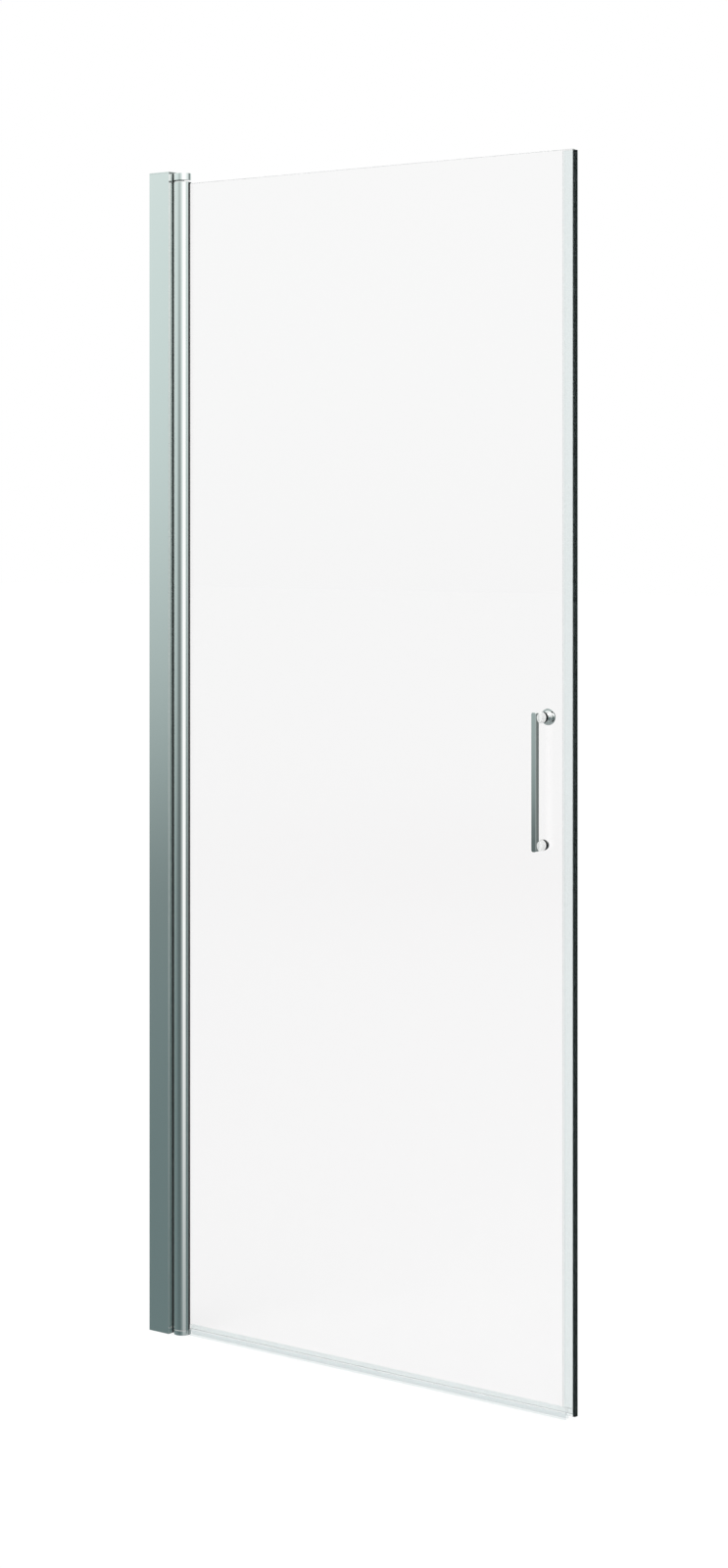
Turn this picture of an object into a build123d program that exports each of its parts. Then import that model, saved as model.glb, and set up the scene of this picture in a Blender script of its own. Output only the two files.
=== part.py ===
from build123d import *
from math import asin, cos, sin
import os

# A pivoting glass shower screen for an alcove: wall channel, adjustable hinge post and glass door.
# Millimetres. The origin is on the wall, at the bottom centre of the wall channel's back.
# +X runs along the screen away from the wall, -Y is the outside where the user stands, +Z is up.
# The door is shut, and the post is pushed fully onto its wall channel.

# Overall sizes
screen_width = 880.0  # wall to the closing face of the magnet seal
screen_height = 2000.0  # floor to the top of the post's cap
glass_thickness = 6.0

# Fits
press_gap = 0.02  # radial, pressed and screwed pieces
pivot_gap = 0.05  # radial, pivot pin in its bush
seal_gap = 0.05  # soft pieces against glass and metal
slip_gap = 0.2  # pieces pushed into or over one another
slide_gap = 0.3  # hinge post over the wall channel
bush_gap = 0.1  # bottom bush above its hinge block

# Wall channel
channel_width = 28.0
channel_web = 2.0
channel_wall = 1.8
channel_below_cap = 1.0  # the channel stops short of the post's cap
wall_hole_radius = 2.75
wall_hole_end = 100.0  # first and last hole from the floor and from the top
wall_hole_count = 4

# Hinge post
post_width = 45.0
post_depth = 36.0
post_wall = 1.8
post_edge_radius = 0.8
post_off_wall = 0.5
chamber_width = 11.4  # closed chamber that takes the hinge blocks
cap_thickness = 2.0
cap_plug = 0.8

# Width adjustment
adjust_travel = 15.0
adjust_screw_x = 22.0
adjust_screw_end = 120.0  # first and last screw from the floor and from the top
adjust_screw_count = 3
adjust_screw_length = 6.0  # under the head
screw_radius = 2.0
screw_head_radius = 3.6
screw_head_height = 2.2
screw_socket_radius = 1.45  # hexagon socket, to its corners
screw_socket_depth = 1.2
screw_cap_wall = 0.8

# Hinge
stile_radius = 15.0
stile_off_post = 1.0
top_block_height = 12.2
top_block_below_cap = 1.0
bottom_block_height = 8.0
block_arm_half_width = 4.0
block_spigot_length = 60.0
block_screw_spacing = 25.0
block_screw_end = 17.5  # nearest screw from the end of the spigot
block_screw_length = 12.0
pin_radius = 3.0
pin_grip = 6.0  # length held in the hinge block
pin_reach = 18.0  # length standing into the bush
bush_radius = 5.0
bush_length = 20.0
bush_flange = 0.9
bush_flange_inset = 1.0  # flange inside the stile's outline
gap_seal_front = 6.3  # distances outside the hinge axis
gap_seal_back = 4.6
gap_seal_foot = 1.7
gap_seal_barb = 0.9  # the barb stands this much past the foot on each side
gap_seal_barb_depth = 1.4

# Door stile
stile_wall = 1.8
boss_wall = 1.6
lip_wall = 1.5
front_lip = 18.0  # from the hinge axis
back_lip = 15.0
top_gap = 3.0  # stile below the top hinge block

# Glass and its seals
glass_arris = 0.5
glass_below_stile = 3.0
support_block_height = 3.0
support_block_length = 10.0
gasket_thickness = 1.5
bead_width = 2.3
bead_height = 2.5
seal_wall = 1.2
seal_leg = 18.1
seal_below_glass_top = 2.0
edge_seal_bottom = 8.9
pocket_depth = 4.0
pocket_skin = 0.4
drip_bottom = 0.8
drip_leg = 8.0  # above the glass's lower edge
drip_past_edge_seal = 6.0
drip_fin = 1.0

# Handle
handle_inset = 63.0  # from the closing face to the fixings
handle_low = 892.5  # lower fixing above the floor
handle_spacing = 200.0
handle_bar_width = 9.0
handle_bar_depth = 8.5
handle_bar_radius = 0.5
handle_bar_corner = 3.0  # the corners of its two ends, seen from the front
finger_gap = 15.0
handle_post_radius = 9.0
washer_thickness = 1.5
glass_hole_radius = 6.0
stud_radius = 2.5
stud_in_bar = 5.5
inner_washer_radius = 8.5
knob_neck_radius = 7.0
knob_neck = 10.7
knob_flare = 3.0  # where the neck opens out to the underside of the rim
knob_radius = 13.25
knob_rim = 2.0
knob_dome = 7.0
knob_thread = 10.0
inner_cap_radius = 8.0
inner_cap_height = 3.5
inner_cap_thread = 2.5
inner_cap_edge = 1.0

# Places worked out from the sizes
post_top = screen_height - cap_thickness
post_inner = post_depth / 2 - post_wall
web_x = post_width - post_wall - chamber_width - post_wall
chamber_start = web_x + post_wall
chamber_end = post_width - post_wall
channel_half = post_inner - slide_gap
block_screw_x = (chamber_start + chamber_end) / 2
axis_x = post_width + stile_off_post + stile_radius
top_block_top = post_top - top_block_below_cap
top_block_bottom = top_block_top - top_block_height
stile_bottom = bottom_block_height + bush_gap + bush_flange
stile_top = top_block_bottom - top_gap
glass_half = glass_thickness / 2
slot_half = glass_half + gasket_thickness
slot_x = axis_x + bush_radius + boss_wall
glass_left = slot_x + gasket_thickness
glass_right = screen_width - pocket_depth - seal_wall - seal_gap
glass_bottom = stile_bottom + support_block_height
glass_top = stile_top - glass_below_stile
bead_end = axis_x + front_lip + bead_width
seal_half = glass_half + seal_gap + seal_wall
edge_seal_left = screen_width - pocket_depth - seal_wall - seal_leg
edge_seal_top = glass_top - seal_below_glass_top
drip_top = glass_bottom + drip_leg
drip_right = edge_seal_left + drip_past_edge_seal
handle_x = screen_width - handle_inset
handle_heights = (handle_low, handle_low + handle_spacing)
bar_back = -glass_half - finger_gap
outer_washer_front = -glass_half - seal_gap - washer_thickness
inner_washer_back = glass_half + seal_gap + washer_thickness


def spread(end, count):
    """Heights of a row of screws, evenly spaced between the same distance from the floor and the top."""
    step = (screen_height - 2 * end) / (count - 1)
    return [end + step * i for i in range(count)]


def rect(x0, x1, y0, y1):
    """A flat rectangle in plan."""
    return Pos((x0 + x1) / 2, (y0 + y1) / 2) * Rectangle(x1 - x0, y1 - y0)


def upright(plan, bottom, top):
    """A plan outline carried from one height to another."""
    return extrude(Pos(0, 0, bottom) * plan, amount=top - bottom)


def block(x0, x1, y0, y1, z0, z1):
    """A rectangular block between its corners."""
    return Pos((x0 + x1) / 2, (y0 + y1) / 2, (z0 + z1) / 2) * Box(x1 - x0, y1 - y0, z1 - z0)


def rod(x, z, radius, y0, y1):
    """A round bar lying along Y."""
    return Pos(x, (y0 + y1) / 2, z) * Rot(90, 0, 0) * Cylinder(radius, y1 - y0)


def post_of(radius, bottom, top):
    """A round bar standing on the hinge axis."""
    return Pos(axis_x, 0, (bottom + top) / 2) * Cylinder(radius, top - bottom)


def turned(edges, z):
    """A shape turned about a fixing's line, from the edges of its outline in (radius, y)."""
    return Pos(handle_x, 0, z) * revolve(make_face(Curve() + edges), Axis.Y)


def button_screw(x, z, seat, length):
    """A screw driven from the inside face, with a hexagon socket. Its head stands outwards from seat."""
    head = rod(x, z, screw_head_radius, seat, seat + screw_head_height)
    head = chamfer(head.edges().group_by(Axis.Y)[-1], screw_head_height * 0.4)
    top = Plane((x, seat + screw_head_height, z), x_dir=(1, 0, 0), z_dir=(0, 1, 0))
    socket = extrude(top * RegularPolygon(screw_socket_radius, 6), amount=-screw_socket_depth)
    return head - socket + rod(x, z, screw_radius, seat - length, seat)


def wall_channel():
    """The U channel that is screwed to the wall and carries the whole screen."""
    top = post_top - channel_below_cap
    plan = rect(0, channel_web, -channel_half, channel_half)
    for side in (-1, 1):
        inner, outer = sorted((side * (channel_half - channel_wall), side * channel_half))
        plan += rect(0, channel_width, inner, outer)
    body = upright(plan, 0, top)
    for z in spread(wall_hole_end, wall_hole_count):
        body -= Pos(channel_web / 2, 0, z) * Rot(0, 90, 0) * Cylinder(wall_hole_radius, 2 * channel_web)
    for z in spread(adjust_screw_end, adjust_screw_count):
        body -= rod(adjust_screw_x, z, screw_radius + press_gap, 0, post_depth)
    return body


def adjusting_screws():
    """Screws through the post's slots into the channel, which hold the width that was set."""
    seat = post_depth / 2 + slip_gap
    return [
        button_screw(adjust_screw_x, z, seat, adjust_screw_length)
        for z in spread(adjust_screw_end, adjust_screw_count)
    ]


def adjusting_screw_caps():
    """Plastic cups snapped over the heads of the adjusting screws."""
    seat = post_depth / 2 + slip_gap
    inside = screw_head_radius + slip_gap
    roof = seat + screw_head_height + slip_gap
    caps = []
    for z in spread(adjust_screw_end, adjust_screw_count):
        cup = rod(adjust_screw_x, z, inside + screw_cap_wall, seat, roof + screw_cap_wall)
        cup = fillet(cup.edges().group_by(Axis.Y)[-1], screw_cap_wall)
        caps.append(cup - rod(adjust_screw_x, z, inside, seat, roof))
    return caps


def hinge_post():
    """The adjustable post: an open side over the channel, and a closed chamber for the hinge blocks."""
    half = post_depth / 2
    plan = rect(post_off_wall, post_width, -half, half)
    corners = plan.vertices().group_by(Axis.X)[-1]
    plan = fillet(corners, post_edge_radius)
    plan -= rect(post_off_wall, web_x, -post_inner, post_inner)
    plan -= rect(chamber_start, chamber_end, -post_inner, post_inner)
    seal_mid = (gap_seal_front + gap_seal_back) / 2
    foot_half = gap_seal_foot / 2 + seal_gap
    plan -= rect(chamber_end, post_width, -seal_mid - foot_half, -seal_mid + foot_half)
    body = upright(plan, 0, post_top)
    arm = block_arm_half_width + slip_gap
    body -= block(chamber_end, post_width, -arm, arm, 0, bottom_block_height + slip_gap)
    body -= block(chamber_end, post_width, -arm, arm, top_block_bottom - slip_gap, post_top)
    slot_half_height = screw_radius + slide_gap
    for z in spread(adjust_screw_end, adjust_screw_count):
        start = adjust_screw_x - adjust_travel
        body -= block(start, adjust_screw_x, 0, post_depth, z - slot_half_height, z + slot_half_height)
        body -= rod(start, z, slot_half_height, 0, post_depth)
        body -= rod(adjust_screw_x, z, slot_half_height, 0, post_depth)
    for z in block_screw_heights():
        body -= rod(block_screw_x, z, screw_radius + slip_gap, 0, post_depth)
    return body


def post_top_cap():
    """The moulded cap that closes the top of the post, with a plug in the chamber."""
    half = post_depth / 2
    plan = rect(post_off_wall, post_width, -half, half)
    plate = upright(fillet(plan.vertices().group_by(Axis.X)[-1], post_edge_radius), post_top, screen_height)
    plate = chamfer(plate.edges().group_by(Axis.Z)[-1], cap_thickness * 0.25)
    inner = post_inner - slip_gap
    plug = block(chamber_start + slip_gap, chamber_end - slip_gap, -inner, inner, post_top - cap_plug, post_top)
    return plate + plug


def block_screw_heights():
    """Heights of the screws that hold the hinge blocks, two in each."""
    low = [block_spigot_length - block_screw_end - block_screw_spacing * i for i in range(2)]
    high = [top_block_top - z for z in low]
    return low + high


def hinge_block(bottom, top, spigot_bottom, spigot_top, pin_bottom, pin_top):
    """A round hinge block on the axis, joined by an arm to the spigot inside the post's chamber."""
    arm = block_arm_half_width
    inner = post_inner - slip_gap
    body = post_of(stile_radius, bottom, top)
    body += block(chamber_end - 2 * slip_gap, axis_x, -arm, arm, bottom, top)
    body += block(chamber_start + slip_gap, chamber_end - slip_gap, -inner, inner, spigot_bottom, spigot_top)
    body -= post_of(pin_radius + press_gap, pin_bottom, pin_top)
    depth = post_depth / 2 + slip_gap - block_screw_length - slip_gap
    for z in block_screw_heights():
        if spigot_bottom < z < spigot_top:
            body -= rod(block_screw_x, z, screw_radius + press_gap, depth, post_depth)
    return body


def top_hinge_block():
    """The block that carries the top pivot pin."""
    return hinge_block(
        top_block_bottom,
        top_block_top,
        top_block_top - block_spigot_length,
        top_block_top,
        top_block_bottom,
        top_block_bottom + pin_grip,
    )


def bottom_hinge_block():
    """The block that carries the bottom pivot pin and the door's weight."""
    height = bottom_block_height
    return hinge_block(0, height, 0, block_spigot_length, height - pin_grip, height)


def hinge_block_screws():
    """Screws through the post's inside face into the hinge blocks."""
    seat = post_depth / 2
    return [button_screw(block_screw_x, z, seat, block_screw_length) for z in block_screw_heights()]


def top_pivot_pin():
    """The steel pin that hangs from the top hinge block into the door."""
    return post_of(pin_radius, top_block_bottom - top_gap - pin_reach, top_block_bottom + pin_grip)


def bottom_pivot_pin():
    """The steel pin that stands in the bottom hinge block."""
    return post_of(pin_radius, bottom_block_height - pin_grip, bottom_block_height + pin_reach)


def hinge_gap_seal():
    """The soft strip on the post that closes the gap to the round stile, held by a barbed foot."""
    reach = stile_radius + slide_gap
    mid = (gap_seal_front + gap_seal_back) / 2
    half_foot = gap_seal_foot / 2
    half_barb = half_foot + gap_seal_barb
    foot_start = chamber_end - seal_gap
    body = rect(post_width + seal_gap, axis_x, -gap_seal_front, -gap_seal_back)
    body -= Pos(axis_x, 0) * Circle(reach)
    foot = rect(foot_start, post_width + seal_gap, -mid - half_foot, -mid + half_foot)
    barb = rect(foot_start - gap_seal_barb_depth, foot_start, -mid - half_barb, -mid + half_barb)
    low = block_spigot_length + slip_gap
    high = top_block_top - block_spigot_length - slip_gap
    strip = upright(body, slip_gap, top_block_top)
    return strip + upright(foot + barb, low, high)


def door_stile():
    """The round aluminium stile that the glass is glazed into, hollow, with a bore for the bushes."""
    outer = slot_half + lip_wall
    boss = bush_radius + boss_wall
    inside = stile_radius - stile_wall
    solid = Circle(stile_radius)
    solid += rect(0, front_lip, -outer, 0) + rect(0, back_lip, 0, outer)
    hollow = Circle(inside) - Circle(boss)
    hollow -= rect(0, stile_radius, -outer, outer)
    hollow -= rect(-stile_radius, 0, -stile_wall / 2, stile_wall / 2)
    hollow -= rect(-stile_wall / 2, stile_wall / 2, -stile_radius, stile_radius)
    plan = solid - hollow - Circle(bush_radius + press_gap)
    plan -= rect(boss, front_lip, -slot_half, slot_half)
    return upright(Pos(axis_x, 0) * plan, stile_bottom, stile_top)


def bush(flange_bottom, body_bottom):
    """A plastic bush pressed into the stile, with a flange that closes the stile's end."""
    flange = post_of(stile_radius - bush_flange_inset, flange_bottom, flange_bottom + bush_flange)
    body = post_of(bush_radius, body_bottom, body_bottom + bush_length)
    return flange + body - post_of(pin_radius + pivot_gap, 0, screen_height)


def top_bush():
    """The bush that turns on the top pin."""
    return bush(stile_top, stile_top - bush_length)


def bottom_bush():
    """The bush that turns on the bottom pin and rests on the bottom hinge block."""
    return bush(stile_bottom - bush_flange, stile_bottom)


def glazing_gasket():
    """The soft channel that grips the glass in the stile, with a bead along its outer edge."""
    near, far = glass_half + seal_gap, slot_half - seal_gap
    start = slot_x + seal_gap
    front_end, back_end = axis_x + front_lip, axis_x + back_lip
    plan = rect(start, glass_left - seal_gap, -far, far)
    plan += rect(start, front_end + seal_gap, -far, -near)
    plan += rect(start, back_end, near, far)
    plan += rect(front_end + seal_gap, bead_end, -near - bead_height, -near)
    return upright(plan, glass_bottom, glass_top)


def glass_support_block():
    """The hard plastic block in the foot of the stile's slot that the glass stands on."""
    half = slot_half - slip_gap
    return block(slot_x + slip_gap, slot_x + support_block_length, -half, half, stile_bottom, glass_bottom - seal_gap)


def glass_panel():
    """The toughened pane, with its arrised edges and two holes for the handle."""
    pane = block(glass_left, glass_right, -glass_half, glass_half, glass_bottom, glass_top)
    pane = chamfer(pane.edges(), glass_arris)
    for z in handle_heights:
        pane -= rod(handle_x, z, glass_hole_radius, -glass_thickness, glass_thickness)
    return pane


def edge_seal():
    """The clear seal on the closing edge: two legs over the glass and a pocket for the magnet."""
    near = glass_half + seal_gap
    web = screen_width - pocket_depth - seal_wall
    plan = rect(edge_seal_left, screen_width, -seal_half, seal_half)
    plan -= rect(edge_seal_left, web, -near, near)
    skin = seal_half - pocket_skin
    plan -= rect(web + seal_wall, screen_width - pocket_skin, -skin, skin)
    body = upright(plan, edge_seal_bottom, edge_seal_top)
    drip_end = drip_right + slip_gap
    return body - block(edge_seal_left, drip_end, -seal_half, seal_half, 0, drip_top + slip_gap)


def magnet_strip():
    """The dark magnetic strip in the edge seal's pocket, which draws the door shut."""
    half = seal_half - pocket_skin - seal_gap
    start = screen_width - pocket_depth + seal_gap
    return block(start, screen_width - pocket_skin - seal_gap, -half, half, edge_seal_bottom, edge_seal_top)


def drip_seal():
    """The clear seal under the glass: two legs, a front skirt and a fin that throws water inwards."""
    near = glass_half + seal_gap
    roof = glass_bottom - seal_gap
    floor = roof - seal_wall
    u_shape = [
        (-seal_half, drip_top),
        (-seal_half, drip_bottom),
        (-seal_half + drip_fin, drip_bottom),
        (-seal_half + drip_fin, floor),
        (0, floor),
        (near, drip_bottom + drip_fin),
        (near + drip_fin, drip_bottom + drip_fin),
        (drip_fin, floor),
        (seal_half, floor),
        (seal_half, drip_top),
        (near, drip_top),
        (near, roof),
        (-near, roof),
        (-near, drip_top),
    ]
    start = bead_end + slip_gap
    outline = make_face(Polyline(*u_shape, close=True))
    return extrude(Plane((start, 0, 0), x_dir=(0, 1, 0), z_dir=(1, 0, 0)) * outline, amount=drip_right - start)


def handle_bar():
    """The pull bar, nearly square, with rounded ends and softened edges, as long as its two posts stand apart."""
    half = handle_bar_width / 2
    bottom = handle_low - handle_post_radius
    top = handle_low + handle_spacing + handle_post_radius
    bar = block(handle_x - half, handle_x + half, bar_back - handle_bar_depth, bar_back, bottom, top)
    bar = fillet(bar.edges().filter_by(Axis.Y), handle_bar_corner)
    bar = fillet(bar.edges(), handle_bar_radius)
    for z in handle_heights:
        bar -= rod(handle_x, z, stud_radius + press_gap, bar_back - stud_in_bar, bar_back)
    return bar


def handle_posts():
    """The two round posts that hold the bar off the glass."""
    posts = []
    for z in handle_heights:
        post = rod(handle_x, z, handle_post_radius, bar_back, outer_washer_front)
        posts.append(post - rod(handle_x, z, stud_radius + seal_gap, bar_back, outer_washer_front))
    return posts


def washers(radius, y0, y1):
    """One soft washer at each fixing."""
    return [
        rod(handle_x, z, radius, y0, y1) - rod(handle_x, z, stud_radius + seal_gap, y0, y1)
        for z in handle_heights
    ]


def handle_outer_washers():
    """The dark washers between the posts and the glass."""
    return washers(handle_post_radius, outer_washer_front, -glass_half - seal_gap)


def handle_inner_washers():
    """The dark washers between the glass and the inside fixings."""
    return washers(inner_washer_radius, glass_half + seal_gap, inner_washer_back)


def handle_hole_sleeves():
    """The plastic sleeves that keep the studs off the edges of the glass's holes."""
    return washers(glass_hole_radius - seal_gap, -glass_half, glass_half)


def handle_studs():
    """The threaded studs that run from the bar through the posts and the glass."""
    ends = (inner_washer_back + inner_cap_thread, inner_washer_back + knob_thread)
    return [
        rod(handle_x, z, stud_radius, bar_back - stud_in_bar, end)
        for z, end in zip(handle_heights, ends)
    ]


def inner_knob():
    """The round knob on the inside, screwed on the upper stud: a neck, a rim and a domed back."""
    base, hole_end = inner_washer_back, inner_washer_back + knob_thread
    neck_end = base + knob_neck
    rim_end = neck_end + knob_rim
    crown = rim_end + knob_dome
    hole = stud_radius + press_gap
    ball = (knob_radius**2 + knob_dome**2) / (2 * knob_dome)
    rise = ball * (1 - cos(asin(knob_radius / ball) / 2))
    shoulder = (ball * sin(asin(knob_radius / ball) / 2), crown - rise)
    neck = Polyline(
        (0, crown),
        (0, hole_end),
        (hole, hole_end),
        (hole, base),
        (knob_neck_radius, base),
        (knob_neck_radius, neck_end - knob_flare),
    )
    flare = RadiusArc(neck @ 1, (knob_neck_radius + knob_flare, neck_end), knob_flare)
    rim = Polyline(flare @ 1, (knob_radius, neck_end), (knob_radius, rim_end))
    dome = ThreePointArc(rim @ 1, shoulder, (0, crown))
    return turned([neck, flare, rim, dome], handle_heights[1])


def inner_cap():
    """The low cap nut on the inside of the lower stud."""
    base, hole_end = inner_washer_back, inner_washer_back + inner_cap_thread
    crown = base + inner_cap_height
    hole = stud_radius + press_gap
    sides = Polyline(
        (inner_cap_radius - inner_cap_edge, crown),
        (0, crown),
        (0, hole_end),
        (hole, hole_end),
        (hole, base),
        (inner_cap_radius, base),
        (inner_cap_radius, crown - inner_cap_edge),
    )
    edge = RadiusArc(sides @ 1, sides @ 0, -inner_cap_edge)
    return turned([sides, edge], handle_heights[0])


pieces = (
    wall_channel,
    adjusting_screws,
    adjusting_screw_caps,
    hinge_post,
    post_top_cap,
    top_hinge_block,
    bottom_hinge_block,
    hinge_block_screws,
    top_pivot_pin,
    bottom_pivot_pin,
    hinge_gap_seal,
    door_stile,
    top_bush,
    bottom_bush,
    glazing_gasket,
    glass_support_block,
    glass_panel,
    edge_seal,
    magnet_strip,
    drip_seal,
    handle_bar,
    handle_posts,
    handle_outer_washers,
    handle_hole_sleeves,
    handle_studs,
    handle_inner_washers,
    inner_knob,
    inner_cap,
)

os.makedirs("parts", exist_ok=True)
for piece in pieces:
    made = piece()
    solids = [s for shape in (made if isinstance(made, list) else [made]) for s in shape.solids()]
    whole = solids[0] if len(solids) == 1 else Compound(children=solids)
    whole.label = piece.__name__
    export_step(whole, os.path.join("parts", piece.__name__ + ".step"))
    print(piece.__name__, len(solids), "solids,", round(sum(s.volume for s in solids) / 1000, 2), "cm3")
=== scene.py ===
import math

import bpy
import numpy as np
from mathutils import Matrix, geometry


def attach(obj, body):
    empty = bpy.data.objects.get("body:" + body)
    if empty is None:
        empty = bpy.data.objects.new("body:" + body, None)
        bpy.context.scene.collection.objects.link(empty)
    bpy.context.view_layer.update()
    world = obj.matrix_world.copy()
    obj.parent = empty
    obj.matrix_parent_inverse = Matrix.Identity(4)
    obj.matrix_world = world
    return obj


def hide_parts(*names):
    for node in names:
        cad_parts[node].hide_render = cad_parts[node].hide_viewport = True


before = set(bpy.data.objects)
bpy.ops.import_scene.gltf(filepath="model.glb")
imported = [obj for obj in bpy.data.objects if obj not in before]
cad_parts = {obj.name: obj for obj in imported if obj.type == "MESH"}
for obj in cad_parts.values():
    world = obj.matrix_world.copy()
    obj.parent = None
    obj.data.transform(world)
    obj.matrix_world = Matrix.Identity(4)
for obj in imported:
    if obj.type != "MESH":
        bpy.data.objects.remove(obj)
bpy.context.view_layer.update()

# The photograph's camera
# A long lens at a standing person's eye level, outside the screen and to the right of it. It looks
# level, and the lens is shifted down so that the foot of the screen stays in the frame.
camera = bpy.data.objects.new("camera", bpy.data.cameras.new("camera"))
bpy.context.scene.collection.objects.link(camera)
camera.location = (3.5188, -3.8741, 1.4115)
camera.rotation_euler = (math.radians(90), 0, math.radians(38.3))
camera.data.sensor_width = 36.0
camera.data.lens = 69.11
camera.data.shift_y = -0.1724
bpy.context.scene.camera = camera
bpy.context.scene.view_settings.view_transform = "Standard"


# The studio
# A plain white room with even light. What the metal mirrors is its walls, pale above and dark green at
# the foot, with a dark slot before the screen, a tall lamp and a doorway to its right, and a white backdrop.
class Field:
    """A shader socket that takes part in sums. Each operator adds one Math node, with a number or another
    socket on its other side."""

    def __init__(self, nodes, socket):
        self.nodes, self.socket = nodes, socket

    def math(self, operation, *values):
        return self.nodes.add("Math", {"operation": operation}, dict(enumerate(values)))

    def __add__(self, other):
        return self.math("ADD", self, other)

    def __sub__(self, other):
        return self.math("SUBTRACT", self, other)

    def __mul__(self, other):
        return self.math("MULTIPLY", self, other)

    def __truediv__(self, other):
        return self.math("DIVIDE", self, other)

    def __radd__(self, other):
        return self.math("ADD", other, self)

    def __rsub__(self, other):
        return self.math("SUBTRACT", other, self)

    def __rmul__(self, other):
        return self.math("MULTIPLY", other, self)

    def __rtruediv__(self, other):
        return self.math("DIVIDE", other, self)


class Nodes:
    """A node tree that starts empty. add makes any node: its settings first, then its sockets' values or
    links. It gives back the output that is asked for, or a list where a tuple of names is."""

    def __init__(self, tree):
        self.tree = tree
        tree.nodes.clear()

    def add(self, kind, settings=None, sockets=None, output=0):
        made = self.tree.nodes.new("ShaderNode" + kind)
        for name, value in (settings or {}).items():
            setattr(made, name, value)
        for name, value in (sockets or {}).items():
            if isinstance(value, Field):
                self.tree.links.new(value.socket, made.inputs[name])
            else:
                made.inputs[name].default_value = value
        if isinstance(output, tuple):
            return [Field(self, made.outputs[name]) for name in output]
        return Field(self, made.outputs[output]) if made.outputs else None

    def place(self, kind="Object"):
        """The three coordinates of a point of the piece, or of a direction in the world."""
        return self.add("SeparateXYZ", {}, {0: self.add("TexCoord", {}, {}, kind)}, ("X", "Y", "Z"))

    def mix(self, share, first, second):
        """The first colour where share is 0 and the second where it is 1."""
        return self.add("Mix", {"data_type": "RGBA"}, {0: share, 6: first, 7: second}, 2)


def grey(level):
    """A neutral colour."""
    return (level, level, level, 1.0)


white_wall, even_light, black = grey(1.0), grey(0.8), grey(0.0)
lamp_white = (1.15, 1.15, 1.14, 1.0)
doorway = (0.135, 0.155, 0.152, 1.0)
wall_foot = (0.163, 0.226, 0.228, 1.0)
wall_middle = (0.661, 0.77, 0.752, 1.0)
wall_top = (0.985, 1.027, 1.003, 1.0)


world = bpy.data.worlds.new("studio")
bpy.context.scene.world = world
world.use_nodes = True
world.cycles.sampling_method = "NONE"
sky = Nodes(world.node_tree)
east, north, height = sky.place("Generated")
elevation = sky.add("Math", {"operation": "ARCSINE"}, {0: height}) * (180 / math.pi)
flat = sky.add("Math", {"operation": "SQRT"}, {0: 1.00001 - height * height})


def lobe(azimuth, narrowness):
    """exp(narrowness * (cos(angle from an azimuth) - 1)), which is 1 at that azimuth and falls off like a
    bell. Azimuths are in degrees: 0 points away from the wall, and -90 straight out from the screen."""
    turn = math.radians(azimuth)
    nearness = (east * math.cos(turn) + north * math.sin(turn)) / flat
    return sky.add("Math", {"operation": "EXPONENT"}, {0: (nearness - 1) * narrowness})


def around(azimuth, width):
    """A lobe with the width, in degrees, at which a bell curve falls to exp(-1/2)."""
    return lobe(azimuth, 1 / math.radians(width) ** 2)


def rise(middle, width):
    """A smooth step from 0 to 1 with elevation: 1 / (1 + exp((middle - elevation) / width)), in degrees."""
    return 1 / (1 + sky.add("Math", {"operation": "EXPONENT"}, {0: (middle - elevation) / width}))


foot_end, foot_blur, middle_end, middle_blur = -4.37, 2.06, 9.05, 1.97
lower_wall = sky.mix(rise(foot_end, foot_blur), wall_foot, wall_middle)
front_wall = sky.mix(rise(middle_end, middle_blur), lower_wall, wall_top)

slot_azimuth, slot_level, slot_spread_below, slot_spread_above = -90, -1.8, 10.2, 6.35
slot_darkness, wide_slot, narrow_slot, narrows_at, narrows_over = 0.687, 5.82, 16.34, 1.25, 1.29
below = sky.add("Math", {"operation": "MINIMUM"}, {0: elevation - slot_level, 1: 0.0}) / slot_spread_below
above = sky.add("Math", {"operation": "MAXIMUM"}, {0: elevation - slot_level, 1: 0.0}) / slot_spread_above
slot_depth = sky.add("Math", {"operation": "EXPONENT"}, {0: (below * below + above * above) * -0.5})
slot_narrowness = rise(narrows_at, narrows_over) * (narrow_slot - wide_slot) + wide_slot
slot = slot_depth * slot_darkness * lobe(slot_azimuth, slot_narrowness)
mirrored = sky.mix(slot, front_wall, black)

stand_azimuth, stand_width, stand_level, stand_height, stand_darkness = -125, 5, -6.8, 0.9, 0.6
from_stand = (elevation - stand_level) / stand_height
stand = sky.add("Math", {"operation": "EXPONENT"}, {0: from_stand * from_stand * -0.5})
mirrored = sky.mix(stand * around(stand_azimuth, stand_width) * stand_darkness, mirrored, black)

pale_azimuth, pale_width, pale_share = 16, 16, 0.25
mirrored = sky.mix(around(pale_azimuth, pale_width) * pale_share, mirrored, white_wall)

# The lamp fades towards the floor in two steps. In a second reflection only its upper part is seen.
seen, through, glossy, bounces = sky.add(
    "LightPath", {}, {}, ("Is Camera Ray", "Is Transmission Ray", "Is Glossy Ray", "Glossy Depth")
)
lamp_azimuth, lamp_width = -29, 17
lamp_gain = 1.5  # the lamp's strength at its brightest; what goes past 1 widens it
lamp_foot, lamp_foot_blur, foot_strength = -12.59, 2.21, 0.741
lamp_head, lamp_head_blur, head_strength = 3.65, 1.04, 0.269
hidden_below, seen_above = -10.0, 7.0
lamp_share = rise(lamp_foot, lamp_foot_blur) * foot_strength + rise(lamp_head, lamp_head_blur) * head_strength
once = sky.add("Math", {"operation": "LESS_THAN"}, {0: bounces, 1: 1.5})
again = sky.add("MapRange", {}, {0: elevation, 1: hidden_below, 2: seen_above, 3: 0.0, 4: 1.0})
lamp_seen = sky.add("Math", {"operation": "MAXIMUM"}, {0: once, 1: again * again})
lamp_glow = lamp_share * lamp_gain * lamp_seen * around(lamp_azimuth, lamp_width)
mirrored = sky.mix(lamp_glow, mirrored, lamp_white)

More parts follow.
